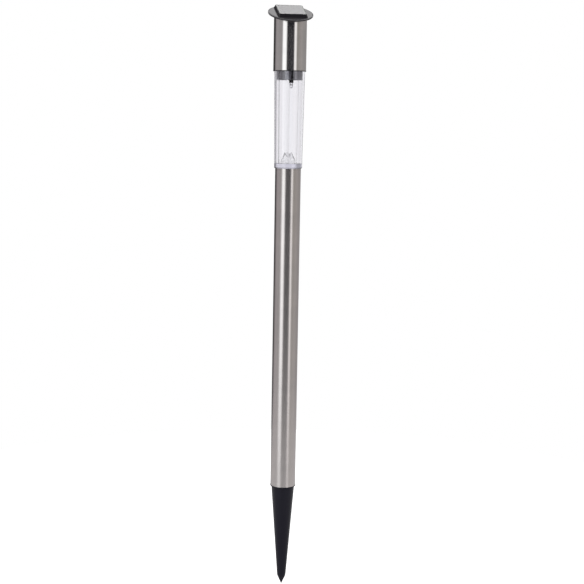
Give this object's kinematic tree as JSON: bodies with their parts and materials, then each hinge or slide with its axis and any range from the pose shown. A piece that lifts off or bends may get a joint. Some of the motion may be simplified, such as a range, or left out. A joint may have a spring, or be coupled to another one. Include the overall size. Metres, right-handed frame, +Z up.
{
  "type": "solar garden light",
  "caption": "Upright garden stake light: black ground spike, slim steel pole, clear tapered lens, steel head with a sloping round cap and square solar panel.",
  "frame": {"origin": "on the light's axis, at the underside of the spike's flange, which is ground level", "axes": "+Z up along the pole; the solar panel slopes down towards -Y; +X is to the right of someone facing the panel"},
  "size_m": [0.066, 0.0616, 0.8785],
  "materials": {
    "brushed_steel": "fine brushed stainless sheet",
    "spike_plastic": "black moulded polypropylene, semi-gloss",
    "clear_plastic": "clear moulded polystyrene, polished",
    "deflector_plastic": "clear moulded polystyrene with sharp facets",
    "collar_plastic": "dark grey metallised plastic, glossy",
    "rubber": "black silicone rubber, matt",
    "black_plastic": "black ABS, fine texture",
    "cap_plastic": "black ABS, polished",
    "panel_window": "clear panel window, glossy",
    "silicon": "dark blue silicon with an anti-reflection coat",
    "board_laminate": "green circuit laminate",
    "battery_wrap": "shrink sleeve in plain green",
    "plated_contact": "nickel-plated spring steel",
    "led_epoxy": "water-clear epoxy",
    "component_black": "black moulded component body",
    "component_green": "green enamelled choke",
    "switch_case": "dark nylon switch case",
    "switch_knob": "pale nylon knob",
    "screw_steel": "zinc-plated steel",
    "wire_red": "red PVC insulation",
    "wire_black": "black PVC insulation"
  },
  "bodies": {
    "spike": {"ground_spike": "spike_plastic"},
    "pole": {"pole_tube": "brushed_steel"},
    "lens": {"lens": "clear_plastic", "light_deflector": "deflector_plastic"},
    "collar": {"lens_collar": "collar_plastic", "collar_gasket": "rubber"},
    "head": {"head_tube": "brushed_steel", "edge_trim": "black_plastic", "solar_cap": "cap_plastic", "panel_seal": "rubber", "panel_board": "board_laminate", "solar_cells": "silicon", "panel_glass": "panel_window", "battery_holder": "black_plastic", "battery": "battery_wrap", "battery_spring": "plated_contact", "negative_plate": "plated_contact", "positive_plate": "plated_contact", "lamp_base": "black_plastic", "led_holder": "black_plastic", "led": "led_epoxy", "led_leads": "plated_contact", "circuit_board": "board_laminate", "driver_chip": "component_black", "choke_coil": "component_green", "capacitor": "component_black", "switch_body": "switch_case", "base_screws": "screw_steel", "cap_screws": "screw_steel", "panel_wires": "wire_red", "battery_wires": "wire_black"},
    "slider": {"switch_slider": "switch_knob"}
  },
  "joints": [
    {"name": "pole_lift", "type": "slide", "parent": "spike", "child": "pole", "axis": [0, 0, 1], "range_m": [0, 0.045]},
    {"name": "lens_lift", "type": "slide", "parent": "pole", "child": "lens", "axis": [0, 0, 1], "range_m": [0, 0.03]},
    {"name": "head_turn", "type": "hinge", "parent": "lens", "child": "collar", "pos_m": [0, 0, 0.636], "axis": [0, 0, 1], "continuous": true},
    {"name": "head_lift", "type": "slide", "parent": "collar", "child": "head", "axis": [0, 0, 1], "range_m": [0, 0.045]},
    {"name": "switch_slide", "type": "slide", "parent": "head", "child": "slider", "axis": [1, 0, 0], "range_m": [0, 0.003]}
  ]
}
